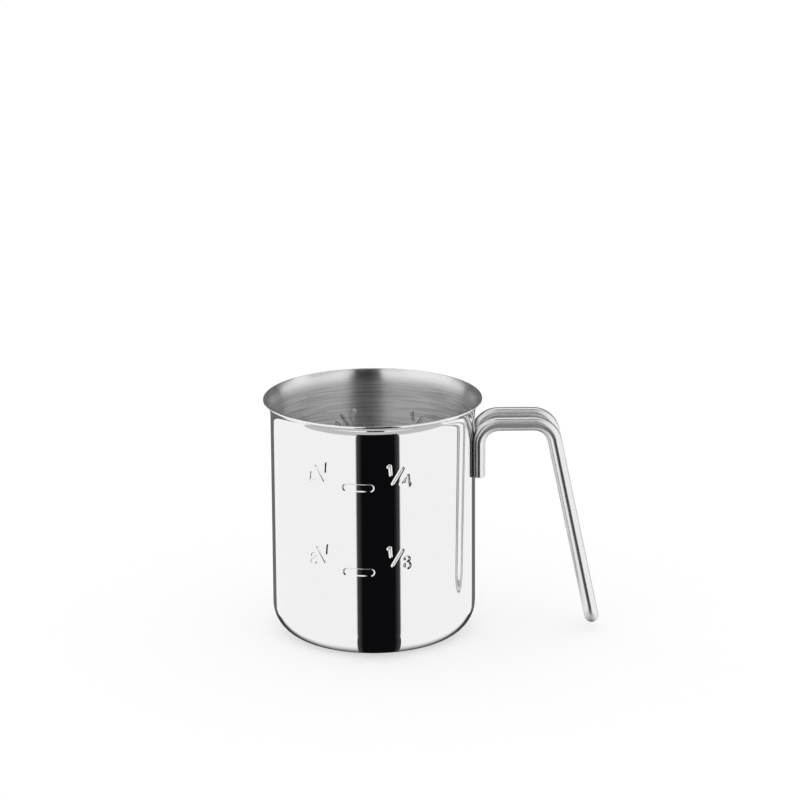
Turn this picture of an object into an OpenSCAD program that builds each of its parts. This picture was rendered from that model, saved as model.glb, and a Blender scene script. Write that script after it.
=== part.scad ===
// Measuring jug: a drawn steel cup with a pressed litre scale, and a hairpin handle of round wire.
// Millimetres, +Z up. The origin is on the cup's axis, on the surface that the jug stands on,
// and the handle points along +X.

/* [Capacity] */
// Fill levels of the marks, as shares of a litre, lowest first
mark_shares = [0.125, 0.25]; // [0.05:0.005:0.5]
// Height from the top mark to the top of the lip
head_room = 23; // [16:0.5:40]

/* [Cup] */
// Outside diameter of the straight wall
body_d = 73.4; // [66:0.2:84]
// Thickness of the sheet
wall = 0.9; // [0.6:0.05:1.2]
// Outside radius of the corner between the wall and the base
corner_r = 11.4; // [6:0.2:14]

/* [Lip] */
// Bend radius of the lip, in the middle of the sheet
lip_bend_r = 6.6; // [4:0.1:9]
// Angle through which the lip turns outward from the wall
lip_turn = 52; // [40:1:70]

/* [Base panel] */
// Diameter of the flat panel that is raised inside the standing ring
panel_d = 40; // [20:1:42]
// Height of the panel above the surface that the ring stands on
panel_rise = 0.8; // [0.4:0.1:1.6]
// Bend radius of the step round the panel, in the middle of the sheet
panel_bend_r = 2.4; // [1.6:0.1:3]

/* [Scale] */
// Length of a dash along the wall, end to end
dash_len = 11.8; // [8:0.1:16]
// Height of a dash at the outer face of the wall
dash_h = 3; // [2.4:0.1:3.6]
// How deep a dash is pressed into the wall
dash_depth = 0.2; // [0.1:0.05:0.6]
// Direction of the front and back scales from the axis, in degrees from +X
scale_turns = [-98.4, 84]; // [-180:0.1:180]

/* [Handle] */
// Diameter of the wire
wire_d = 5; // [4:0.1:6]
// Distance between the middles of the two rods
rod_pitch = 12.5; // [9:0.1:16]
// Bend radius of the rods, in the middle of the wire
bend_r = 7.5; // [6:0.1:9]
// Gap from the top of the wire up to where the lip starts to turn
lip_gap = 0.5; // [0.2:0.1:6]
// Height of the legs from their lower ends to the middle of the top run
leg_h = 19.6; // [16:0.1:30]
// Depth of the flat that is pressed on each leg where it is welded
leg_flat = 1.2; // [0.6:0.05:1.6]
// Distance from the middle of the legs to where the top run and the sloping run would cross
reach = 26; // [22:0.1:36]
// Slope of the long run from the vertical
run_slope = 11.7; // [0:0.1:25]
// Gap from the turned end down to the surface that the jug stands on
end_gap = 2; // [1:0.1:20]
// Rounding of the edges of the wire's cut ends
wire_edge_r = 0.6; // [0.3:0.1:1.2]

/* [Welds] */
// Diameter of a weld spot
weld_d = 3; // [2:0.1:3.6]
// Thickness of a weld spot between the wall and the leg
weld_t = 0.15; // [0.1:0.05:0.3]

/* [Hidden] */
$fn = 128;

// A litre is the volume of a cube with this edge
decimetre = 100;
litre = pow(decimetre, 3);
// Balls at the ends of a dash and at the top of the sloping run stand proud of them by a hair
ball_proud = 0.02;
// Places of the weld spots on the straight length of a leg
weld_place_shares = [0.25, 0.78];

body_r = body_d / 2;
inner_r = body_r - wall;
inner_corner_r = corner_r - wall;

// The step round the base panel is two equal bends, one over and one back
panel_r = panel_d / 2;
panel_bend = acos(1 - panel_rise / (2 * panel_bend_r));
panel_step = 2 * panel_bend_r * sin(panel_bend);
ring_r = body_r - corner_r;

// What the round corner and the raised panel take from the volume of a plain cylinder
spandrel_area_share = 1 - PI / 4;
spandrel_middle_share = (10 - 3 * PI) / (12 - 3 * PI);
corner_fill = 2 * PI * (inner_r - spandrel_middle_share * inner_corner_r)
            * spandrel_area_share * pow(inner_corner_r, 2);
panel_fill = PI * pow(panel_r + panel_step / 2, 2) * panel_rise;
function fill_z(litre_share) =
    wall + (litre_share * litre + corner_fill + panel_fill) / (PI * pow(inner_r, 2));

// The lip is one bend and ends in a rounded edge
body_h = fill_z(max(mark_shares)) + head_room;
lip_start_z = body_h - wall / 2 - lip_bend_r * sin(lip_turn);
straight_h = lip_start_z - corner_r;

// A dash is a groove of round section, whose inner face follows the outer one at the wall's thickness
dash_r = (pow(dash_h / 2, 2) + pow(dash_depth, 2)) / (2 * dash_depth);
dash_axis_r = body_r - dash_depth + dash_r;
dash_turn = (dash_len - dash_h) / body_r * 180 / PI;

wire_r = wire_d / 2;
rod_y = rod_pitch / 2;
seat_r = body_r + weld_t;
leg_axis_r = seat_r + wire_r - leg_flat;
leg_turn = asin(rod_y / leg_axis_r);
leg_x = leg_axis_r * cos(leg_turn);
leg_straight = leg_h - bend_r;
bend_z = lip_start_z - lip_gap - wire_r - bend_r;
leg_foot_z = bend_z - leg_straight;

// The sloping run leaves the far bend at its slope and ends where the turned end begins
far_turn = 90 - run_slope;
top_len = reach - bend_r - bend_r * tan(far_turn / 2);
run_drop = bend_z + bend_r * sin(run_slope) - end_gap - wire_r;
run_len = run_drop / cos(run_slope) - rod_y;

// A stretch of the cup's sheet that is bent about the origin, in section
module bent_sheet(mid_r, start, turn) {
    far = 2 * (mid_r + wall);
    intersection() {
        difference() {
            circle(r = mid_r + wall / 2);
            circle(r = mid_r - wall / 2);
        }
        polygon([
            [0, 0],
            for (step = [0, 1 / 2, 1]) far * [cos(start + step * turn), sin(start + step * turn)]
        ]);
    }
}

// The round on the cut edge of the sheet, standing on the X axis
module rounded_edge() {
    intersection() {
        circle(d = wall);
        translate([-wall / 2, 0]) square([wall, wall]);
    }
}

// Section of the cup from the axis out and up: panel, step, standing ring, corner, wall and lip
module cup_section() {
    translate([0, panel_rise]) square([panel_r, wall]);
    translate([panel_r, panel_rise + wall / 2 - panel_bend_r])
        bent_sheet(panel_bend_r, 90 - panel_bend, panel_bend);
    translate([panel_r + panel_step, wall / 2 + panel_bend_r])
        bent_sheet(panel_bend_r, 270 - panel_bend, panel_bend);
    translate([panel_r + panel_step, 0]) square([ring_r - panel_r - panel_step, wall]);
    translate([ring_r, corner_r]) bent_sheet(corner_r - wall / 2, 270, 90);
    translate([inner_r, corner_r]) {
        square([wall, straight_h]);
        translate([wall / 2 + lip_bend_r, straight_h]) {
            bent_sheet(lip_bend_r, 180 - lip_turn, lip_turn);
            rotate(-lip_turn) translate([-lip_bend_r, 0]) rounded_edge();
        }
    }
}

// One dash of the scale as a solid rod with round ends, centred on +X
module dash_rod(section_r) {
    rotate(-dash_turn / 2) {
        rotate_extrude(angle = dash_turn) translate([dash_axis_r, 0]) circle(r = section_r);
        for (end = [0, 1])
            rotate(end * dash_turn) translate([dash_axis_r, 0, 0]) sphere(r = section_r + ball_proud);
    }
}

// The dashes of both scales at all fill levels
module dashes(section_r) {
    for (turn = scale_turns, share = mark_shares)
        rotate(turn) translate([0, 0, fill_z(share)]) dash_rod(section_r);
}

// The drawn cup, with each dash pressed in from the outside
module cup() {
    color([0.84, 0.85, 0.86])
    difference() {
        union() {
            rotate_extrude() cup_section();
            intersection() {
                dashes(dash_r + wall);
                cylinder(r = body_r - wall / 2, h = body_h);
            }
        }
        dashes(dash_r);
    }
}

// A length of wire that is bent about the Z axis
module bent_wire(axis_r, start, turn) {
    rotate_extrude(angle = turn, start = start) translate([axis_r, 0]) circle(d = wire_d);
}

// The straight part of a leg, along Z to its cut end, whose edge is rounded
module leg() {
    rotate_extrude() {
        square([wire_r, leg_straight - wire_edge_r]);
        translate([0, leg_straight - wire_edge_r]) {
            square([wire_r - wire_edge_r, wire_edge_r]);
            translate([wire_r - wire_edge_r, 0]) intersection() {
                circle(r = wire_edge_r);
                square(wire_edge_r);
            }
        }
    }
}

// One rod in the XZ plane from its leg to the end of its far bend, about the bend near the wall
module rod() {
    translate([-bend_r, 0, 0]) rotate([180, 0, 0]) leg();
    rotate([90, 0, 0]) bent_wire(bend_r, 90, 90);
    translate([0, 0, bend_r]) rotate([0, 90, 0]) cylinder(d = wire_d, h = top_len);
    translate([top_len, 0, 0]) rotate([90, 0, 0]) {
        bent_wire(bend_r, run_slope, far_turn);
        rotate(run_slope) translate([bend_r, 0, 0]) sphere(r = wire_r + ball_proud);
    }
}

// The sloping runs of both rods and the turned end that joins them, down from the far bends
module sloping_part() {
    for (side = [-1, 1]) translate([0, side * rod_y, 0]) rotate([180, 0, 0])
        cylinder(d = wire_d, h = run_len);
    translate([0, 0, -run_len]) rotate([-90, 0, 90]) bent_wire(rod_y, 0, 180);
}

// The handle: one wire bent to a hairpin, with its legs flattened to the curve of the wall
module handle() {
    color([0.72, 0.73, 0.75])
    difference() {
        translate([leg_x + bend_r, 0, bend_z]) {
            for (side = [-1, 1]) translate([0, side * rod_y, 0]) rod();
            translate([top_len, 0, 0]) rotate([0, -run_slope, 0]) translate([bend_r, 0, 0])
                sloping_part();
        }
        cylinder(r = seat_r, h = body_h);
    }
}

// The weld spots between the wall and the flats of the legs
module handle_welds() {
    color([0.5, 0.5, 0.52])
    for (side = [-1, 1], share = weld_place_shares)
        rotate(side * leg_turn) translate([0, 0, leg_foot_z + share * leg_straight])
            intersection() {
                rotate([0, 90, 0]) cylinder(d = weld_d, h = leg_axis_r);
                difference() {
                    cylinder(r = seat_r, h = 2 * weld_d, center = true);
                    cylinder(r = body_r, h = 2 * weld_d, center = true);
                }
            }
}

cup();
handle();
handle_welds();
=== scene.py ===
"""Models a polished steel measuring jug over its CAD parts and sets it in a white studio."""

import itertools
import math

import bpy
from bpy.props import FloatProperty, FloatVectorProperty, PointerProperty
from bpy.types import Operator, Panel, PropertyGroup
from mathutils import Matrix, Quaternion, Vector


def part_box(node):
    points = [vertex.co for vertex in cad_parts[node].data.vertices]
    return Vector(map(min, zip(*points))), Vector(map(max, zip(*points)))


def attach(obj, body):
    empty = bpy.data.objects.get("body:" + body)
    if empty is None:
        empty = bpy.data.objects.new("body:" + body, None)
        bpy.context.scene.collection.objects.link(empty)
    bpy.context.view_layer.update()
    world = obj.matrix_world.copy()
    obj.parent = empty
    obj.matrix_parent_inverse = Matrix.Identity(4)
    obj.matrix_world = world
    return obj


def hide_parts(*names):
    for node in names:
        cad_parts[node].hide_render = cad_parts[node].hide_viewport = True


bl_info = {
    "name": "Measuring Jug",
    "version": (1, 0, 0),
    "blender": (4, 5, 0),
    "location": "View3D > Sidebar > Jug",
    "description": "Models a steel measuring jug with a pressed scale and a wire handle",
    "category": "Add Mesh",
}

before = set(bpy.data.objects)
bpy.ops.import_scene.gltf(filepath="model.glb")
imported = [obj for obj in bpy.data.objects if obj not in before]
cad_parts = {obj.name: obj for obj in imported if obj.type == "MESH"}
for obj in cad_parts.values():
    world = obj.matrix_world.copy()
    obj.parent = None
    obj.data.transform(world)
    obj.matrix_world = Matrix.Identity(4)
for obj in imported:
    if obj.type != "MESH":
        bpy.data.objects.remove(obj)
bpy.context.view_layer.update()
_, CUP_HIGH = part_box("cup")
HANDLE_LOW, HANDLE_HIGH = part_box("handle")

# Metres in a millimetre
MM = 0.001
UP = Vector((0, 0, 1))
SIDEWAYS = Vector((0, 1, 0))

# Spacing of the cup's mesh up the plain wall, on the pressed numbers and on the dashes
PLAIN_SPACING = 6 * MM
NUMBER_SPACING = 0.22 * MM
DASH_SPACING = 0.15 * MM
# Turn from one column of the mesh to the next where the wall is plain
PLAIN_TURN = math.radians(6)
# Steps of the bends and flats of the cup's section
PANEL_STEPS = 4
STEP_BEND_STEPS = 5
CORNER_STEPS = 14
LIP_STEPS = 12
RIM_STEPS = 4
# Share of the sheet's thickness that the round of the cut edge takes on each face
RIM_ROUND_SHARE = 0.46
# Edges of the sheet that turn by more than this are rounded
RIM_MIN_ANGLE = math.radians(60)
# Vertices closer than this are one
MERGE_GAP = 0.001 * MM

# Strips of the wall that need a fine mesh, as distances along it from the middle of a dash
NUMBER_STRIP = (9.8 * MM, 19.2 * MM)
DASH_END_STRIP = (4.2 * MM, 5.95 * MM)
# The same up and down the wall: half the height of a dash's rows, and the top of the numbers' rows
DASH_BAND = 1.6 * MM
NUMBER_BAND = 9.9 * MM

# Strokes of the pressed numbers in millimetres, right and up from the middle of their dash
ONE = ((10.75, 7.6), (11.4, 8.05), (11.65, 4.75))
SLASH = ((15.75, 6.65), (12.3, 1.4))
FOUR = ((18.1, 0.25), (17.7, 4.05), (15.3, 1.2), (18.45, 0.9))
# Middle of each loop of the eight, and its radii to the right and up
EIGHT_LOOPS = (((17.15, 3.35), (1.0, 0.72)), ((17.25, 0.95), (1.22, 1.0)))
# Points round each loop
LOOP_POINTS = 16
# Between 1 for strokes with a pointed floor and 2 for a round one
STROKE_POWER = 1.5
# The numbers of the lower mark stand this much further right and up from their dash, in millimetres
LOW_NUMBER_SHIFT = (-0.2, 1.0)
# The numbers that read from the inside stand this much further from the dash
TWIN_SHIFT = 0.2 * MM
# Weight groups of the two faces of the wall
OUTER_FACE = "outer_face"
INNER_FACE = "inner_face"

# Sides of the wire, and steps of its bends, its legs and the round of its cut ends
WIRE_SIDES = 48
BEND_STEPS = 24
LEG_STEPS = 6
WIRE_EDGE_STEPS = 4
# Edges of the handle that turn by more than this are shaded as sharp
SMOOTH_ANGLE = math.radians(35)
# Sides of the cylinder that cuts the seats of the legs
SEAT_SIDES = 256
# UV map of the wire, along it and round it
WIRE_MAP = "along_wire"


def length(name, millimetres, description):
    """A property for a size, given in millimetres."""
    return FloatProperty(name=name, description=description, default=millimetres * MM,
                         min=0.0, precision=5, unit="LENGTH")


def angle(name, degrees, description):
    """A property for an angle, given in degrees."""
    return FloatProperty(name=name, description=description, default=math.radians(degrees),
                         subtype="ANGLE")


def share(name, default, description):
    """A property for a value from 0 to 1."""
    return FloatProperty(name=name, description=description, default=default,
                         min=0.0, max=1.0, subtype="FACTOR")


def colour(name, default, description):
    """A property for a colour."""
    return FloatVectorProperty(name=name, description=description, default=default,
                               min=0.0, max=1.0, size=3, subtype="COLOR")


class JugCupSizes(PropertyGroup):
    """Sizes of the drawn cup."""
    height: FloatProperty(name="Height", description="Height of the lip above the base",
                          default=CUP_HIGH.z, min=0.0, precision=5, unit="LENGTH")
    body_d: length("Body diameter", 73.4, "Outside diameter of the straight wall")
    wall: length("Sheet", 0.9, "Thickness of the sheet")
    corner_r: length("Corner radius", 11.4, "Outside radius between the wall and the base")
    lip_bend_r: length("Lip bend", 6.6, "Bend radius of the lip, in the middle of the sheet")
    lip_turn: angle("Lip turn", 52, "Angle through which the lip turns outward")
    panel_d: length("Panel diameter", 40, "Diameter of the raised panel in the base")
    panel_rise: length("Panel rise", 0.8, "Height of the panel above the standing ring")
    panel_bend_r: length("Panel bend", 2.4, "Bend radius of the step round the panel")


class JugScaleSizes(PropertyGroup):
    """Sizes and places of the pressed scale."""
    low_z: length("Lower mark", 33.464, "Height of the eighth of a litre")
    high_z: length("Upper mark", 64.509, "Height of the quarter of a litre")
    front_turn: angle("Front scale", -98.4, "Direction of the front scale from the handle")
    back_turn: angle("Back scale", 84, "Direction of the back scale from the handle")
    dash_len: length("Dash length", 11.5, "Length of a dash along the wall")
    dash_h: length("Dash height", 2.9, "Height of a dash at the outer face of the wall")
    dash_flat: length("Dash flat", 2.1, "Height of the flat floor of a dash")
    dash_depth: length("Dash depth", 0.27, "How deep a dash is pressed into the wall")
    stroke_w: length("Stroke width", 1.4, "Width of a number's stroke at the face of the wall")
    number_depth: length("Number depth", 0.38, "How deep the numbers are pressed into the wall")


class JugHandleSizes(PropertyGroup):
    """Sizes of the hairpin handle."""
    wire_d: length("Wire", 5, "Diameter of the wire")
    rod_pitch: length("Rod pitch", 12.5, "Distance between the middles of the two rods")
    bend_r: length("Bend radius", 7.5, "Bend radius in the middle of the wire")
    leg_h: length("Leg height", 19.6, "Height of the legs up to the middle of the top run")
    leg_flat: length("Leg flat", 1.2, "Depth of the flat that is pressed on each leg")
    seat_gap: length("Weld gap", 0.15, "Gap that the weld spots fill behind the legs")
    reach: length("Reach", 26, "Distance from the legs to where the two runs would cross")
    run_slope: angle("Run slope", 11.7, "Slope of the long run from the vertical")
    edge_r: length("Cut edge", 0.6, "Rounding of the edges of the wire's cut ends")


class JugFinish(PropertyGroup):
    """Colours and polish of the steel."""
    polished: colour("Polished sheet", (0.87, 0.87, 0.875), "Colour of the polished outside")
    brushed: colour("Brushed sheet", (0.985, 0.98, 0.985), "Colour of the brushed inside")
    wire: colour("Wire", (0.84, 0.84, 0.845), "Colour of the handle's wire")
    # Painted shade: the wire goes dark next to the wall, where its legs meet it
    seam: colour("Seam", (0.1, 0.1, 0.1), "Colour of the wire next to the weld")
    weld: colour("Weld", (0.42, 0.4, 0.38), "Colour of the weld spots")
    polished_roughness: share("Polished roughness", 0.025, "Roughness of the outside")
    brushed_roughness: share("Brushed roughness", 0.44, "Roughness of the inside")
    lip_smoothing: share("Lip smoothing", 0.6, "Roughness of the lip's edge, as a share of the wall's")
    wire_roughness: share("Wire roughness", 0.235, "Roughness of the wire")
    weld_roughness: share("Weld roughness", 0.45, "Roughness of the weld spots")
    brushed_anisotropy: share("Brushed stretch", 1.0, "How far the brushing stretches lights")
    wire_anisotropy: share("Wire stretch", 1.0, "How far the wire's polish stretches lights")
    wire_polish: share("Wire polish", 0.95, "Share of the wire's light that is mirrored, not scattered")


class JugStageLook(PropertyGroup):
    """The studio round the jug."""
    floor: colour("Floor", (0.4, 0.4, 0.4), "Colour of the floor")
    floor_glow: share("Floor glow", 0.61, "Light that comes through the floor")
    tent: colour("Tent", (1.0, 1.0, 1.0), "Colour of the white tent")
    gap: colour("Gap", (0.004, 0.004, 0.005), "Colour of the dark gap in the tent")
    gap_edge: colour("Gap edge", (0.06, 0.06, 0.062), "Colour of the gap next to its edges")
    behind: colour("Behind", (0.15, 0.15, 0.15), "Colour of the tent behind the jug")
    # Painted shadow under the jug, on the table sheet that only the steel mirrors
    under_shadow: colour("Under", (0.05, 0.05, 0.05), "Colour of the table under the jug in reflections")
    table: colour("Table", (0.57, 0.57, 0.57), "Colour of the table in reflections")
    gap_left: angle("Gap left", -18.8, "Left edge of the gap, seen from the jug")
    gap_right: angle("Gap right", 29.0, "Right edge of the gap, seen from the jug")
    lean_left: angle("Left lean", 8.3, "How far the tent's left side leans over the gap overhead")
    lean_right: angle("Right lean", 4.0, "How far the tent's right side leans over the gap overhead")
    narrowing: share("Narrowing", 0.5, "Width of the gap straight overhead, as a share of its width")
    behind_turn: angle("Behind from", 149, "Direction at which the tent turns grey")
    behind_widening: angle("Behind widening", 22, "How much sooner it turns grey above level")
    camera_place: FloatVectorProperty(
        name="Camera", description="Place of the camera", size=3, subtype="TRANSLATION",
        default=(0.0, -1.1937, 0.4231))
    camera_aim: FloatVectorProperty(
        name="Aim", description="Point that the camera looks at", size=3, subtype="TRANSLATION",
        default=(0.0098, 0.0, 0.0862))
    camera_roll: angle("Roll", -0.34, "Lean of the camera about its line of sight")
    lens: FloatProperty(name="Lens", description="Focal length in millimetres", default=155.9,
                        min=1.0, subtype="DISTANCE_CAMERA")


# Shared modelling steps

def start_edit():
    """Opens the active piece's mesh for drawing."""
    bpy.ops.object.mode_set(mode="EDIT")


def end_edit():
    """Closes the mesh that is being drawn."""
    bpy.ops.object.mode_set(mode="OBJECT")


def begin_piece(add_primitive, name, **values):
    """Adds one primitive with nothing else selected, and names it."""
    bpy.ops.object.select_all(action="DESELECT")
    add_primitive(**values)
    piece = bpy.context.object
    piece.name = name
    piece.data.name = name
    return piece


def settle(piece):
    """Moves the place of a piece into its mesh."""
    bpy.ops.object.select_all(action="DESELECT")
    piece.select_set(True)
    bpy.context.view_layer.objects.active = piece
    bpy.ops.object.transform_apply(location=True, rotation=True, scale=True)


def apply_modifier(piece, kind, **values):
    """Adds a modifier with its settings and applies it."""
    bpy.context.view_layer.objects.active = piece
    bpy.ops.object.modifier_add(type=kind)
    modifier = piece.modifiers[-1]
    for key, value in values.items():
        setattr(modifier, key, value)
    bpy.ops.object.modifier_apply(modifier=modifier.name)


def close_skin(flared=False):
    """Merges the seams of the mesh being edited and turns its faces outward.

    On an open skin with a flared lip, the outer faces count as inside, because the lip's look down.
    """
    bpy.ops.mesh.select_all(action="SELECT")
    bpy.ops.mesh.remove_doubles(threshold=MERGE_GAP)
    bpy.ops.mesh.normals_make_consistent(inside=flared)


def steps_for(span, spacing):
    """Number of even steps that a span needs at a spacing."""
    return max(1, math.ceil(span / spacing))


def draw_straight(move, steps=1):
    """Draws on from the selected point or loop along a straight line."""
    for _ in range(steps):
        bpy.ops.mesh.extrude_region_move(TRANSFORM_OT_translate={"value": Vector(move) / steps})


def draw_bend(centre, turn, steps, axis=SIDEWAYS):
    """Draws on from the selected point or loop round a bend. Spin itself turns the other way."""
    bpy.ops.mesh.spin(steps=steps, angle=-turn, center=centre, axis=axis)


# The cup

def draw_base(cup):
    """Draws the underside from the axis to the standing ring: panel, step over and step back."""
    half = cup.wall / 2
    panel_r = cup.panel_d / 2
    turn = math.acos(1 - cup.panel_rise / (2 * cup.panel_bend_r))
    step = 2 * cup.panel_bend_r * math.sin(turn)
    ring_r = cup.body_d / 2 - cup.corner_r
    draw_straight((panel_r, 0, 0), PANEL_STEPS)
    draw_bend((panel_r, 0, cup.panel_rise + half - cup.panel_bend_r), turn, STEP_BEND_STEPS)
    draw_bend((panel_r + step, 0, half + cup.panel_bend_r), -turn, STEP_BEND_STEPS)
    draw_straight((ring_r - panel_r - step, 0, 0))
    draw_bend((ring_r, 0, cup.corner_r), -math.pi / 2, CORNER_STEPS)


def draw_wall(cup, scale, lip_start):
    """Draws the straight wall, with close rows where the scale is pressed."""
    level = cup.corner_r
    for mark in (scale.low_z, scale.high_z):
        for top, row in ((mark - DASH_BAND, PLAIN_SPACING), (mark + DASH_BAND, DASH_SPACING),
                         (mark + NUMBER_BAND, NUMBER_SPACING)):
            draw_straight((0, 0, top - level), steps_for(top - level, row))
            level = top
    draw_straight((0, 0, lip_start - level), steps_for(lip_start - level, PLAIN_SPACING))


def draw_lip(cup, lip_start):
    """Draws the outward bend of the lip and the short end that is rounded later."""
    half = cup.wall / 2
    draw_bend((cup.body_d / 2 - half + cup.lip_bend_r, 0, lip_start), cup.lip_turn, LIP_STEPS)
    draw_straight(half * Vector((math.sin(cup.lip_turn), 0, math.cos(cup.lip_turn))))


def fine_sectors(cup, scale):
    """Start, end and spacing of the sectors that need close columns, in order round the cup."""
    body_r = cup.body_d / 2
    found = []
    for turn in (scale.front_turn, scale.back_turn):
        middle = turn % math.tau
        for (near, far), column in ((NUMBER_STRIP, NUMBER_SPACING),
                                    (DASH_END_STRIP, DASH_SPACING)):
            for first, last in ((near, far), (-far, -near)):
                found.append((middle + first / body_r, middle + last / body_r, column / body_r))
    return sorted(found)


def turn_section(cup, scale):
    """Turns the drawn section round the axis, sector by sector."""
    bpy.ops.mesh.select_all(action="SELECT")
    reached = 0.0
    for first, last, column in fine_sectors(cup, scale) + [(math.tau, math.tau, PLAIN_TURN)]:
        for target, spacing in ((first, PLAIN_TURN), (last, column)):
            if target > reached:
                span = target - reached
                draw_bend((0, 0, 0), span, steps_for(span, spacing), UP)
                reached = target


def loop_points(middle, radii):
    """A closed round stroke."""
    turns = [math.tau * i / LOOP_POINTS for i in range(LOOP_POINTS + 1)]
    return [(middle[0] + radii[0] * math.cos(t), middle[1] + radii[1] * math.sin(t)) for t in turns]


def moved(strokes, right, up):
    """The same strokes in another place."""
    return [[(x + right, y + up) for x, y in stroke] for stroke in strokes]


def in_metres(strokes):
    """Strokes in millimetres as lists of points in metres."""
    return [[Vector((x, y)) * MM for x, y in stroke] for stroke in strokes]


def fraction_strokes(scale):
    """The strokes of the pressed number beside each mark, by the mark's height."""
    eighth = [ONE, SLASH] + [loop_points(*loop) for loop in EIGHT_LOOPS]
    return {scale.low_z: in_metres(moved(eighth, *LOW_NUMBER_SHIFT)),
            scale.high_z: in_metres([ONE, SLASH, FOUR])}


def distance_to(point, stroke):
    """Shortest distance from a point to a stroke."""
    best = math.inf
    for start, end in zip(stroke, stroke[1:]):
        along = end - start
        place = max(0.0, min(1.0, (point - start).dot(along) / along.length_squared))
        best = min(best, (point - start - place * along).length)
    return best


def round_groove(distance, floor_w, mouth_w):
    """Depth of a groove with a flat floor at a distance from its middle line, from 1 to 0."""
    across = (distance - floor_w / 2) / (mouth_w / 2 - floor_w / 2)
    return 0.5 + 0.5 * math.cos(math.pi * max(0.0, min(1.0, across)))


def sharp_groove(distance, mouth_w):
    """Depth of a groove with a narrow floor at a distance from its middle line, from 1 to 0."""
    return 1 - math.sin(math.pi / 2 * min(1.0, distance / (mouth_w / 2))) ** STROKE_POWER


def pressed_depth(point, strokes, scale):
    """How far the scale moves the wall inward at a point, right and up from the middle of a dash.

    The number stands to the right of the dash, and mirrored, for reading from the inside, to the left.
    """
    half_dash = (scale.dash_len - scale.dash_h) / 2
    dash = [Vector((-half_dash, 0)), Vector((half_dash, 0))]
    depth = scale.dash_depth * round_groove(distance_to(point, dash), scale.dash_flat, scale.dash_h)
    twin_point = Vector((-point.x - TWIN_SHIFT, point.y))
    number = min(distance_to(place, stroke) for stroke in strokes for place in (point, twin_point))
    return max(depth, scale.number_depth * sharp_groove(number, scale.stroke_w))


def place_by_dash(spot, mark, turn, body_r):
    """Place of a spot on the wall, right and up from the middle of a dash."""
    off = math.atan2(spot.y, spot.x) - turn
    return Vector((math.remainder(off, math.tau) * body_r, spot.z - mark))


def is_pressed(place):
    """Whether a dash or its numbers can reach a place."""
    return abs(place.x) < NUMBER_STRIP[1] and -DASH_BAND < place.y < NUMBER_BAND


def scale_depths(piece, cup, scale):
    """How far each vertex of the wall moves inward, by its index."""
    depths = {}
    turns = (scale.front_turn, scale.back_turn)
    for (mark, strokes), turn in itertools.product(fraction_strokes(scale).items(), turns):
        for vertex in piece.data.vertices:
            place = place_by_dash(vertex.co, mark, turn, cup.body_d / 2)
            if is_pressed(place):
                depths[vertex.index] = pressed_depth(place, strokes, scale)
    return depths


def press_scale(piece, cup, scale):
    """Presses the scale inward through both faces of the wall, each with its own weight group."""
    outer = piece.vertex_groups.new(name=OUTER_FACE)
    inner = piece.vertex_groups.new(name=INNER_FACE)
    deepest = max(scale.dash_depth, scale.number_depth)
    middle_r = cup.body_d / 2 - cup.wall / 2
    for index, depth in scale_depths(piece, cup, scale).items():
        outside = piece.data.vertices[index].co.xy.length > middle_r
        group = outer if outside else inner
        group.add([index], depth / deepest, "REPLACE")
    for name, strength in ((OUTER_FACE, -deepest), (INNER_FACE, deepest)):
        apply_modifier(piece, "DISPLACE", strength=strength, mid_level=0.0, vertex_group=name)


def draw_skin(cup, scale, lip_start):
    """Draws the cup's outer face from one vertex: its section, turned round the axis."""
    start_edit()
    bpy.ops.mesh.merge(type="CENTER")
    bpy.ops.transform.translate(value=(0, 0, cup.panel_rise))
    draw_base(cup)
    draw_wall(cup, scale, lip_start)
    draw_lip(cup, lip_start)
    turn_section(cup, scale)
    close_skin(flared=True)
    end_edit()


def thicken(piece, cup):
    """Gives the outer face the thickness of the sheet, and rounds the sheet's cut edge."""
    apply_modifier(piece, "SOLIDIFY", thickness=cup.wall, offset=-1.0, material_offset=1,
                   use_even_offset=True)
    apply_modifier(piece, "BEVEL", width=cup.wall * RIM_ROUND_SHARE, segments=RIM_STEPS,
                   limit_method="ANGLE", angle_limit=RIM_MIN_ANGLE)


class JUG_OT_cup(Operator):
    """Draw the cup's section, turn it, give it its thickness and press the scale"""
    bl_idname = "jug.cup"
    bl_label = "Cup"

    def execute(self, context):
        cup, scale, finish = context.scene.jug_cup, context.scene.jug_scale, context.scene.jug_finish
        lip_start = cup.height - cup.wall / 2 - cup.lip_bend_r * math.sin(cup.lip_turn)
        piece = begin_piece(bpy.ops.mesh.primitive_plane_add, "jug_cup", size=cup.wall)
        draw_skin(cup, scale, lip_start)
        piece.data.materials.append(polished_steel("polished_sheet", finish))
        piece.data.materials.append(brushed_steel("brushed_sheet", finish, lip_start, cup.height))
        thicken(piece, cup)
        press_scale(piece, cup, scale)
        settle(piece)
        bpy.ops.object.shade_smooth()
        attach(piece, "root")
        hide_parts("cup")
        return {"FINISHED"}


# The handle

def leg_place(cup, handle):
    """Distances of a leg's middle from the cup's axis, along the handle and across it."""
    leg_r = cup.body_d / 2 + handle.seat_gap + handle.wire_d / 2 - handle.leg_flat
    rod_y = handle.rod_pitch / 2
    return math.sqrt(leg_r ** 2 - rod_y ** 2), rod_y


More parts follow.
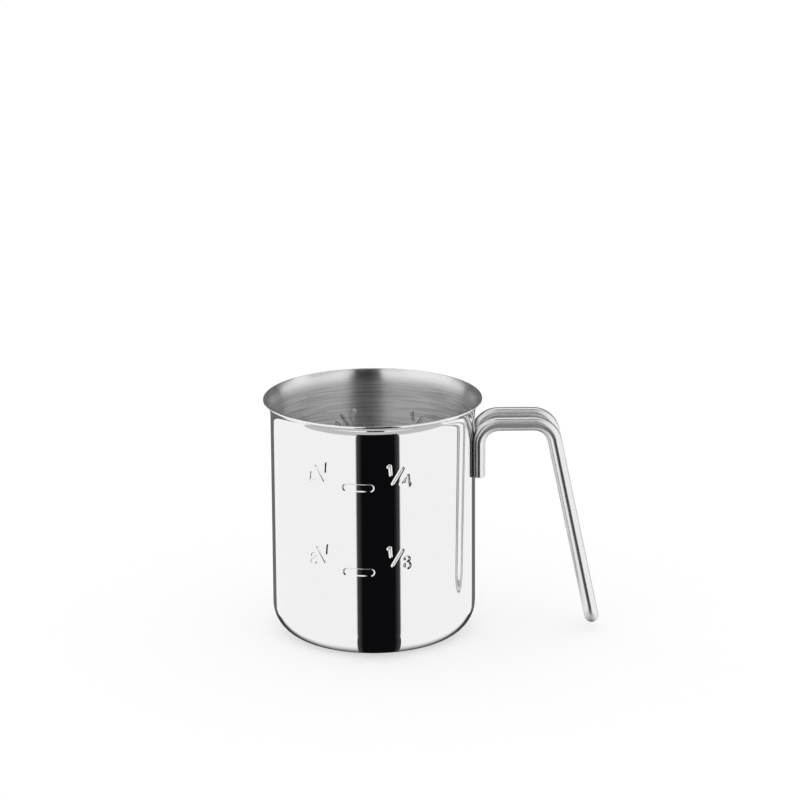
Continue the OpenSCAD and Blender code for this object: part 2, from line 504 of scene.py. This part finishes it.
def sweep_rod(cup, handle):
    """Draws one rod from the foot of its leg to the middle of the turned end."""
    leg_x, rod_y = leg_place(cup, handle)
    bend_r = handle.bend_r
    bend_z = HANDLE_HIGH.z - handle.wire_d / 2 - bend_r
    far_turn = math.pi / 2 - handle.run_slope
    top_len = handle.reach - bend_r - bend_r * math.tan(far_turn / 2)
    far_x = leg_x + bend_r + top_len
    out = Vector((math.cos(handle.run_slope), 0, math.sin(handle.run_slope)))
    down = Vector((math.sin(handle.run_slope), 0, -math.cos(handle.run_slope)))
    run_top = Vector((far_x, 0, bend_z)) + bend_r * out
    end_z = HANDLE_LOW.z + handle.wire_d / 2
    run_len = (run_top.z - end_z) / math.cos(handle.run_slope) - rod_y
    draw_straight((0, 0, handle.leg_h - bend_r), LEG_STEPS)
    draw_bend((leg_x + bend_r, -rod_y, bend_z), math.pi / 2, BEND_STEPS)
    draw_straight((top_len, 0, 0))
    draw_bend((far_x, -rod_y, bend_z), far_turn, BEND_STEPS)
    draw_straight(run_len * down)
    draw_bend(run_top + run_len * down, math.pi / 2, BEND_STEPS, out)


def unroll(piece):
    """Gives the swept wire a UV map: along it in metres, and round it from 0 to 1."""
    end_edit()
    places = [vertex.co for vertex in piece.data.vertices]
    rings = [places[i:i + WIRE_SIDES] for i in range(0, len(places), WIRE_SIDES)]
    middles = [sum(ring, Vector()) / WIRE_SIDES for ring in rings]
    along = [0.0]
    for start, end in zip(middles, middles[1:]):
        along.append(along[-1] + (end - start).length)
    uv = piece.data.uv_layers.new(name=WIRE_MAP)
    for loop in piece.data.loops:
        ring, place = divmod(loop.vertex_index, WIRE_SIDES)
        uv.data[loop.index].uv = along[ring], place / WIRE_SIDES
    start_edit()


def select_foot(piece, foot_z):
    """Selects the open ring at the foot of a leg."""
    end_edit()
    for edge in piece.data.edges:
        heights = [piece.data.vertices[index].co.z for index in edge.vertices]
        edge.select = all(abs(height - foot_z) < MERGE_GAP for height in heights)
    start_edit()


def round_foot(piece, foot_z, edge_r):
    """Closes the foot of a leg and rounds its edge."""
    bpy.ops.mesh.select_all(action="DESELECT")
    select_foot(piece, foot_z)
    bpy.ops.mesh.edge_face_add()
    select_foot(piece, foot_z)
    bpy.ops.mesh.bevel(offset=edge_r, segments=WIRE_EDGE_STEPS, affect="EDGES")


def seat_legs(piece, cup, handle):
    """Cuts the legs to the curve of the wall."""
    cutter = begin_piece(bpy.ops.mesh.primitive_cylinder_add, "seat_cutter", vertices=SEAT_SIDES,
                         radius=cup.body_d / 2 + handle.seat_gap, depth=2 * cup.height)
    apply_modifier(piece, "BOOLEAN", object=cutter, operation="DIFFERENCE", solver="EXACT")
    bpy.data.objects.remove(cutter)


class JUG_OT_handle(Operator):
    """Draw one rod of the handle, mirror it to a hairpin and seat its legs on the wall"""
    bl_idname = "jug.handle"
    bl_label = "Handle"

    def execute(self, context):
        cup, handle, finish = context.scene.jug_cup, context.scene.jug_handle, context.scene.jug_finish
        leg_x, rod_y = leg_place(cup, handle)
        foot = Vector((leg_x, -rod_y, HANDLE_HIGH.z - handle.wire_d / 2 - handle.leg_h))
        piece = begin_piece(bpy.ops.mesh.primitive_circle_add, "jug_handle", vertices=WIRE_SIDES,
                            radius=handle.wire_d / 2, fill_type="NOTHING", location=foot)
        settle(piece)
        start_edit()
        bpy.ops.mesh.select_all(action="SELECT")
        sweep_rod(cup, handle)
        unroll(piece)
        round_foot(piece, foot.z, handle.edge_r)
        close_skin()
        end_edit()
        apply_modifier(piece, "MIRROR", use_axis=(False, True, False), use_mirror_merge=True,
                       merge_threshold=MERGE_GAP)
        seat_legs(piece, cup, handle)
        settle(piece)
        bpy.ops.object.shade_smooth_by_angle(angle=SMOOTH_ANGLE)
        piece.data.materials.append(wire_steel("polished_wire", finish, cup.body_d / 2))
        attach(piece, "root")
        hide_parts("handle")
        return {"FINISHED"}


class JUG_OT_welds(Operator):
    """Give the weld spots their finish"""
    bl_idname = "jug.welds"
    bl_label = "Welds"

    def execute(self, context):
        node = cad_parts["handle_welds"]
        node.data.materials.clear()
        node.data.materials.append(weld_steel("weld_spots", context.scene.jug_finish))
        return {"FINISHED"}


# Finishes

# A quarter of a whole turn, by which the stretch of lights is set across the brushing
QUARTER_TURN = 0.25
# How far from the wall the wire is darkened with painted shade, where its legs meet the wall
SEAM_SHADE_W = 2.1 * MM
# Lines to the metre across each finish, and breaks to the metre along them
POLISH_LINES = (2500, 60)
BRUSH_LINES = (1800, 70)
WIRE_LINES = (900, 900)
# Detail of the noise that the lines are made of
LINES_DETAIL = 3.0
# Values of the lines at the floors of the scratches and at the ridges between them
POLISH_RANGE = (0.3, 0.8)
BRUSH_RANGE = (0.35, 0.65)
WIRE_RANGE = (0.25, 0.75)
# Roughness at both, as shares of the finish's own
POLISH_SPREAD = (0.6, 1.6)
BRUSH_SPREAD = (0.85, 1.15)
WIRE_SPREAD = (0.95, 1.05)
# Colour of the brushing's floors, as a share of its ridges' colour
BRUSH_DARK_SHARE = 0.72
# Middle value of the brushing, to which it fades
FADED = 0.5
# Strength of the brushing's bumps, and their depth
BUMP_STRENGTH = 0.08
BUMP_DEPTH = 0.1 * MM


def new_material(name):
    """An empty node material, with its node tree and its shader."""
    material = bpy.data.materials.new(name)
    material.use_nodes = True
    return material, material.node_tree, material.node_tree.nodes["Principled BSDF"]


def math_node(tree, operation, first, second=None):
    """Adds a Math node, whose inputs are sockets or numbers, and returns its output."""
    node = tree.nodes.new("ShaderNodeMath")
    node.operation = operation
    for socket, value in zip(node.inputs, (first, second)):
        if isinstance(value, bpy.types.NodeSocket):
            tree.links.new(value, socket)
        elif value is not None:
            socket.default_value = value
    return node.outputs["Value"]


def ramp_node(tree, value, low, high, to_low=0.0, to_high=1.0):
    """Adds a soft step from one value to another and returns its output."""
    node = tree.nodes.new("ShaderNodeMapRange")
    node.interpolation_type = "SMOOTHSTEP"
    for key, number in (("From Min", low), ("From Max", high), ("To Min", to_low), ("To Max", to_high)):
        node.inputs[key].default_value = number
    tree.links.new(value, node.inputs["Value"])
    return node.outputs["Result"]


def socket_called(sockets, identifier):
    """The socket with an identifier, for nodes whose sockets share their names."""
    return next(socket for socket in sockets if socket.identifier == identifier)


def mix_colours(tree, factor, first, second):
    """Adds a colour mix, whose colours are sockets or values, and returns its output."""
    node = tree.nodes.new("ShaderNodeMix")
    node.data_type = "RGBA"
    tree.links.new(factor, node.inputs["Factor"])
    for identifier, value in (("A_Color", first), ("B_Color", second)):
        socket = socket_called(node.inputs, identifier)
        if isinstance(value, bpy.types.NodeSocket):
            tree.links.new(value, socket)
        else:
            socket.default_value = (*value, 1.0)
    return socket_called(node.outputs, "Result_Color")


def mix_values(tree, factor, first, second):
    """Adds a mix of two values and returns its output."""
    node = tree.nodes.new("ShaderNodeMix")
    for key, value in (("Factor", factor), ("A", first), ("B", second)):
        tree.links.new(value, node.inputs[key])
    return node.outputs["Result"]


def split_place(tree, kind="Object"):
    """Adds the place on the object, or for a world the direction, and returns its X, Y and Z."""
    split = tree.nodes.new("ShaderNodeSeparateXYZ")
    tree.links.new(tree.nodes.new("ShaderNodeTexCoord").outputs[kind], split.inputs["Vector"])
    return split.outputs


def square_node(tree, value):
    """Adds the square of a value and returns its output."""
    return math_node(tree, "MULTIPLY", value, value)


def axis_distance(tree, x, y):
    """Adds the distance from the Z axis and returns its output."""
    return math_node(tree, "SQRT", math_node(tree, "ADD", square_node(tree, x), square_node(tree, y)))


def turned_lines():
    """A node group with fine lines that run round the Z axis, as a value from 0 to 1."""
    name = "turned_lines"
    if name in bpy.data.node_groups:
        return bpy.data.node_groups[name]
    group = bpy.data.node_groups.new(name, "ShaderNodeTree")
    for key in ("Lines per metre", "Breaks per metre"):
        group.interface.new_socket(key, in_out="INPUT", socket_type="NodeSocketFloat")
    group.interface.new_socket("Lines", in_out="OUTPUT", socket_type="NodeSocketFloat")
    inputs, outputs = group.nodes.new("NodeGroupInput"), group.nodes.new("NodeGroupOutput")
    x, y, z = split_place(group)
    across = math_node(group, "ADD", axis_distance(group, x, y), z)
    join = group.nodes.new("ShaderNodeCombineXYZ")
    for axis, value, density in (("X", x, "Breaks per metre"), ("Y", y, "Breaks per metre"),
                                 ("Z", across, "Lines per metre")):
        scaled = math_node(group, "MULTIPLY", value, inputs.outputs[density])
        group.links.new(scaled, join.inputs[axis])
    noise = group.nodes.new("ShaderNodeTexNoise")
    noise.inputs["Scale"].default_value = 1.0
    noise.inputs["Detail"].default_value = LINES_DETAIL
    group.links.new(join.outputs["Vector"], noise.inputs["Vector"])
    group.links.new(noise.outputs["Fac"], outputs.inputs["Lines"])
    return group


def lines_node(tree, lines, breaks):
    """Places the lines in a material and returns their value."""
    node = tree.nodes.new("ShaderNodeGroup")
    node.node_tree = turned_lines()
    node.inputs["Lines per metre"].default_value = lines
    node.inputs["Breaks per metre"].default_value = breaks
    return node.outputs["Lines"]


def spread_of(roughness, spread):
    """Lowest and highest roughness of a finish."""
    return [part * roughness for part in spread]


def set_grain(tree, shader, **settings):
    """Sets the direction along which a shader stretches lights."""
    tangent = tree.nodes.new("ShaderNodeTangent")
    for key, value in settings.items():
        setattr(tangent, key, value)
    tree.links.new(tangent.outputs["Tangent"], shader.inputs["Tangent"])


def set_bumps(tree, shader, height):
    """Gives a shader the brushing's bumps."""
    bump = tree.nodes.new("ShaderNodeBump")
    bump.inputs["Strength"].default_value = BUMP_STRENGTH
    bump.inputs["Distance"].default_value = BUMP_DEPTH
    tree.links.new(height, bump.inputs["Height"])
    tree.links.new(bump.outputs["Normal"], shader.inputs["Normal"])


def polished_steel(name, finish):
    """Mirror polish with a breath of polishing lines."""
    material, tree, shader = new_material(name)
    shader.inputs["Base Color"].default_value = (*finish.polished, 1.0)
    shader.inputs["Metallic"].default_value = 1.0
    lines = lines_node(tree, *POLISH_LINES)
    rough = ramp_node(tree, lines, *POLISH_RANGE, *spread_of(finish.polished_roughness, POLISH_SPREAD))
    tree.links.new(rough, shader.inputs["Roughness"])
    return material


def brush_streaks(tree, height, lip_start, top):
    """The scratches of the brushing from 0 to 1, which fade up the lip to their middle value."""
    lines = lines_node(tree, *BRUSH_LINES)
    streaks = ramp_node(tree, lines, *BRUSH_RANGE, -FADED, FADED)
    fading = ramp_node(tree, height, lip_start, top, 1.0, 0.0)
    return math_node(tree, "ADD", math_node(tree, "MULTIPLY", streaks, fading), FADED)


def brushed_steel(name, finish, lip_start, top):
    """Steel brushed round the inside of the cup, which stretches lights up and down.

    Up the lip the brushing fades, and the steel is smoother.
    """
    material, tree, shader = new_material(name)
    shader.inputs["Metallic"].default_value = 1.0
    shader.inputs["Anisotropic"].default_value = finish.brushed_anisotropy
    shader.inputs["Anisotropic Rotation"].default_value = QUARTER_TURN
    _, _, height = split_place(tree)
    streaks = brush_streaks(tree, height, lip_start, top)
    dark = [BRUSH_DARK_SHARE * channel for channel in finish.brushed]
    tree.links.new(mix_colours(tree, streaks, dark, finish.brushed), shader.inputs["Base Color"])
    rough = ramp_node(tree, streaks, 0.0, 1.0, *spread_of(finish.brushed_roughness, BRUSH_SPREAD))
    smoothing = ramp_node(tree, height, lip_start, top, 1.0, finish.lip_smoothing)
    tree.links.new(math_node(tree, "MULTIPLY", rough, smoothing), shader.inputs["Roughness"])
    set_grain(tree, shader, direction_type="RADIAL", axis="Z")
    set_bumps(tree, shader, streaks)
    return material


def wire_steel(name, finish, wall_r):
    """Wire polished round and round, which stretches lights along it, and darkened with painted shade
    next to the wall, where the legs meet it.
    """
    material, tree, shader = new_material(name)
    x, y, _ = split_place(tree)
    # Painted shade on the wire within a few millimetres of the wall
    clear = ramp_node(tree, axis_distance(tree, x, y), wall_r, wall_r + SEAM_SHADE_W)
    tree.links.new(mix_colours(tree, clear, finish.seam, finish.wire), shader.inputs["Base Color"])
    shader.inputs["Metallic"].default_value = finish.wire_polish
    shader.inputs["Anisotropic"].default_value = finish.wire_anisotropy
    lines = lines_node(tree, *WIRE_LINES)
    rough = ramp_node(tree, lines, *WIRE_RANGE, *spread_of(finish.wire_roughness, WIRE_SPREAD))
    tree.links.new(rough, shader.inputs["Roughness"])
    set_grain(tree, shader, direction_type="UV_MAP", uv_map=WIRE_MAP)
    return material


def weld_steel(name, finish):
    """Dull steel of the weld spots."""
    material, tree, shader = new_material(name)
    shader.inputs["Base Color"].default_value = (*finish.weld, 1.0)
    shader.inputs["Metallic"].default_value = 1.0
    shader.inputs["Roughness"].default_value = finish.weld_roughness
    return material


# The stage

# Half the softness of the tent's edges
TENT_BLUR = math.radians(1)
# Half the width of the paler edges inside the gap
GAP_EDGE = math.radians(3.5)
# Heights from level at which the gap and the tent end at the table
GAP_FOOT = math.radians(-60)
TABLE_TOP = math.radians(-50)
# Height above level by which the sides of the tent lean over to their full
GAP_LEAN_END = math.radians(20)
# Height above level from which the gap narrows towards straight up
NARROW_FROM = math.radians(30)
# How far the gap runs on past straight up, and its width there, as a share of its width
GAP_PAST = math.radians(13)
GAP_PAST_WIDTH = 1.5
# Height above level at which the grey behind the jug ends
BEHIND_TOP = math.radians(44)
# Half the height, about level, over which the grey behind the jug widens
BEHIND_BLUR = math.radians(3)


def between_node(tree, value, low, high, blur):
    """A mask that is 1 between two values and falls to 0 outside them."""
    rise = ramp_node(tree, value, low - blur, low + blur)
    fall = ramp_node(tree, value, high - blur, high + blur, 1.0, 0.0)
    return math_node(tree, "MULTIPLY", rise, fall)


def past_angle(tree, value, limit, before=0.0, after=1.0):
    """A soft step at an angle, for a value that is the sine of one."""
    low, high = math.sin(limit - TENT_BLUR), math.sin(limit + TENT_BLUR)
    return ramp_node(tree, value, low, high, before, after)


def turn_from_front(tree, x, y):
    """Angle round the jug, from straight in front of it to the right."""
    return math_node(tree, "ARCTAN2", x, math_node(tree, "MULTIPLY", y, -1.0))


def gap_side(tree, stage, x, y, z):
    """How far a direction is to the right of the front, as the gap counts it.

    Above level that is the angle from the upright plane through the front, so that the gap keeps its
    width up to where it narrows. Below level it is the mean of that angle and the turn from the front.
    """
    narrowing = ramp_node(tree, z, math.sin(NARROW_FROM), 1.0, 1.0, stage.narrowing)
    past = math_node(tree, "MULTIPLY", math_node(tree, "GREATER_THAN", y, 0.0), GAP_PAST_WIDTH)
    width = math_node(tree, "MAXIMUM", narrowing, past)
    above = math_node(tree, "ARCSINE", math_node(tree, "DIVIDE", x, width))
    both = math_node(tree, "ADD", turn_from_front(tree, x, y), above)
    below = math_node(tree, "DIVIDE", both, 2.0)
    return mix_values(tree, math_node(tree, "GREATER_THAN", z, 0.0), below, above)


def gap_mask(tree, stage, side, y, z):
    """A mask of the gap between the sides of the tent, from the table to past straight up."""
    gap = between_node(tree, side, stage.gap_left, stage.gap_right, TENT_BLUR)
    gap = math_node(tree, "MULTIPLY", gap, past_angle(tree, z, GAP_FOOT))
    gap = math_node(tree, "MULTIPLY", gap, past_angle(tree, y, GAP_PAST, 1.0, 0.0))
    leaning = between_node(tree, side, stage.gap_left + stage.lean_left,
                           stage.gap_right - stage.lean_right, TENT_BLUR)
    level = ramp_node(tree, z, 0.0, math.sin(GAP_LEAN_END), 1.0, 0.0)
    return math_node(tree, "MULTIPLY", gap, math_node(tree, "MAXIMUM", leaning, level))


def gap_colour(tree, stage, side):
    """The gap's darkness, which is paler next to its edges."""
    core = between_node(tree, side, stage.gap_left + GAP_EDGE, stage.gap_right - GAP_EDGE, GAP_EDGE)
    return mix_colours(tree, core, stage.gap_edge, stage.gap)


def behind_mask(tree, stage, x, y, z):
    """A mask of the grey behind the jug, which is wider above level."""
    wider = ramp_node(tree, z, -math.sin(BEHIND_BLUR), math.sin(BEHIND_BLUR),
                      0.0, stage.behind_widening)
    turn = math_node(tree, "ADD", math_node(tree, "ABSOLUTE", turn_from_front(tree, x, y)), wider)
    behind = ramp_node(tree, turn, stage.behind_turn - TENT_BLUR, stage.behind_turn + TENT_BLUR)
    return math_node(tree, "MULTIPLY", behind, past_angle(tree, z, BEHIND_TOP, 1.0, 0.0))


def build_tent(stage):
    """The world: white for the camera, and for reflections a white tent with a dark gap."""
    world = bpy.data.worlds.new("studio_tent")
    bpy.context.scene.world = world
    world.use_nodes = True
    tree = world.node_tree
    x, y, z = split_place(tree, "Generated")
    side = gap_side(tree, stage, x, y, z)
    seen = mix_colours(tree, past_angle(tree, z, TABLE_TOP), stage.table, stage.tent)
    seen = mix_colours(tree, gap_mask(tree, stage, side, y, z), seen, gap_colour(tree, stage, side))
    seen = mix_colours(tree, behind_mask(tree, stage, x, y, z), seen, stage.behind)
    glossy = tree.nodes.new("ShaderNodeLightPath").outputs["Is Glossy Ray"]
    tree.links.new(mix_colours(tree, glossy, stage.tent, seen),
                   tree.nodes["Background"].inputs["Color"])


def matt_material(name, tone):
    """A material that mirrors nothing, with its node tree and its shader."""
    material, tree, shader = new_material(name)
    shader.inputs["Base Color"].default_value = (*tone, 1.0)
    shader.inputs["Roughness"].default_value = 1.0
    shader.inputs["Specular IOR Level"].default_value = 0.0
    return material, tree, shader


# Width of the floor, and the hair by which it lies below the base
FLOOR_SIZE = 8.0
FLOOR_DROP = 0.1 * MM


def build_floor(stage):
    """A pale floor that takes the jug's shadow and that the steel doesn't mirror."""
    floor = begin_piece(bpy.ops.mesh.primitive_plane_add, "floor", size=FLOOR_SIZE,
                        location=(0, 0, -FLOOR_DROP))
    settle(floor)
    material, _, shader = matt_material("floor", stage.floor)
    shader.inputs["Emission Color"].default_value = (*stage.tent, 1.0)
    shader.inputs["Emission Strength"].default_value = stage.floor_glow
    floor.data.materials.append(material)
    floor.visible_glossy = False


# The table close to the base carries a painted shadow, dark under the jug, and glows white in front of
# it.
# The edge between them is a curve, with these distances in front of the axis for its dark and white
# sides
SHADE_NEAR = 28.5 * MM
SHADE_FAR = 35.5 * MM
# How the edge curves back to the sides, in metres for each square metre
SHADE_CURVE = 16.0
# Radius of the table close to the base, and how far it reaches to each side of the front
NEAR_TABLE_R = 46 * MM
NEAR_TABLE_TURN = math.radians(120)
# Place from which the dark strip to the gap fans out, as a share of the cup's radius, and its spread,
# as a share of the gap's. With these its sides are mirrored as upright lines
STRIP_FOCUS_SHARE = 0.19
STRIP_TURN_SHARE = 0.76
# Length of the strip, and the hair by which it lies over the table
STRIP_REACH = 39.2 * MM
STRIP_LIFT = 0.05 * MM
# Steps round the outer edge of the table and of the strip
FAN_STEPS = 24
# Own colour of the strip, which only gives off light
BLACK = (0.0, 0.0, 0.0)


def build_fan(name, focus, reach, first, last, material):
    """A fan on the table in front of the jug, which only the steel mirrors."""
    turn = first - math.pi / 2
    fan = begin_piece(bpy.ops.mesh.primitive_plane_add, name, size=reach)
    start_edit()
    bpy.ops.mesh.merge(type="CENTER")
    bpy.ops.transform.translate(value=focus)
    draw_straight(reach * Vector((math.cos(turn), math.sin(turn), 0)))
    bpy.ops.mesh.select_all(action="SELECT")
    draw_bend(focus, last - first, FAN_STEPS, UP)
    end_edit()
    settle(fan)
    fan.data.materials.append(material)
    fan.visible_camera = fan.visible_diffuse = fan.visible_shadow = False


def near_table_material(stage):
    """A painted shadow, dark under the jug, which glows white in front of it."""
    material, tree, shader = matt_material("near_table", stage.gap)
    x, y, _ = split_place(tree)
    curve = math_node(tree, "MULTIPLY", square_node(tree, x), SHADE_CURVE)
    pale = ramp_node(tree, math_node(tree, "SUBTRACT", curve, y), SHADE_NEAR, SHADE_FAR)
    # Painted shadow: the sheet gives off the dark under the jug and white in front of it
    tree.links.new(mix_colours(tree, pale, stage.under_shadow, stage.tent), shader.inputs["Emission Color"])
    shader.inputs["Emission Strength"].default_value = 1.0
    return material


def strip_material(stage, focus, first, last):
    """As dark as the gap in the tent, and as pale next to its edges."""
    material, tree, shader = matt_material("dark_strip", BLACK)
    x, y, _ = split_place(tree)
    turn = math_node(tree, "ARCTAN2", x, math_node(tree, "SUBTRACT", focus.y, y))
    edge = STRIP_TURN_SHARE * GAP_EDGE
    core = between_node(tree, turn, first + edge, last - edge, edge)
    tree.links.new(mix_colours(tree, core, stage.gap_edge, stage.gap), shader.inputs["Emission Color"])
    shader.inputs["Emission Strength"].default_value = 1.0
    return material


def build_near_table(stage, body_r):
    """The table close to the base with its painted shadow, and a dark strip to the gap, for the bottom
    corner to mirror.
    """
    build_fan("near_table", Vector((0, 0, 0)), NEAR_TABLE_R, -NEAR_TABLE_TURN, NEAR_TABLE_TURN,
              near_table_material(stage))
    focus = Vector((0, -STRIP_FOCUS_SHARE * body_r, STRIP_LIFT))
    first, last = STRIP_TURN_SHARE * stage.gap_left, STRIP_TURN_SHARE * stage.gap_right
    build_fan("dark_strip", focus, STRIP_REACH, first, last,
              strip_material(stage, focus, first, last))


def build_camera(stage):
    """The camera of the photo."""
    place, aim = Vector(stage.camera_place), Vector(stage.camera_aim)
    bpy.ops.object.camera_add(location=place)
    camera = bpy.context.object
    camera.name = "camera"
    camera.rotation_mode = "QUATERNION"
    look = (aim - place).to_track_quat("-Z", "Y")
    camera.rotation_quaternion = look @ Quaternion(UP, stage.camera_roll)
    camera.data.lens = stage.lens
    bpy.context.scene.camera = camera


class JUG_OT_stage(Operator):
    """Set up the tent, the floor, the table close to the base and the camera"""
    bl_idname = "jug.stage"
    bl_label = "Stage"

    def execute(self, context):
        stage = context.scene.jug_stage
        context.scene.view_settings.view_transform = "Standard"
        build_tent(stage)
        build_floor(stage)
        build_near_table(stage, context.scene.jug_cup.body_d / 2)
        build_camera(stage)
        return {"FINISHED"}


class JUG_PT_panel(Panel):
    """The jug's pieces and their sizes"""
    bl_idname = "JUG_PT_panel"
    bl_label = "Measuring Jug"
    bl_space_type = "VIEW_3D"
    bl_region_type = "UI"
    bl_category = "Jug"

    def draw(self, context):
        for operator in PIECES:
            self.layout.operator(operator.bl_idname)
        for name, group in GROUPS.items():
            box = self.layout.box()
            for key in group.__annotations__:
                box.prop(getattr(context.scene, name), key)


GROUPS = {"jug_cup": JugCupSizes, "jug_scale": JugScaleSizes, "jug_handle": JugHandleSizes,
          "jug_finish": JugFinish, "jug_stage": JugStageLook}
PIECES = (JUG_OT_cup, JUG_OT_handle, JUG_OT_welds, JUG_OT_stage)


def register():
    """Registers the classes and gives the scene their settings."""
    for cls in (*GROUPS.values(), *PIECES, JUG_PT_panel):
        bpy.utils.register_class(cls)
    for name, group in GROUPS.items():
        setattr(bpy.types.Scene, name, PointerProperty(type=group))


def unregister():
    """Undoes what register does."""
    for name in GROUPS:
        delattr(bpy.types.Scene, name)
    for cls in (JUG_PT_panel, *reversed(PIECES), *reversed(GROUPS.values())):
        bpy.utils.unregister_class(cls)


def main():
    """Builds the jug and its stage."""
    register()
    bpy.ops.jug.cup()
    bpy.ops.jug.handle()
    bpy.ops.jug.welds()
    bpy.ops.jug.stage()


if __name__ == "__main__":
    main()
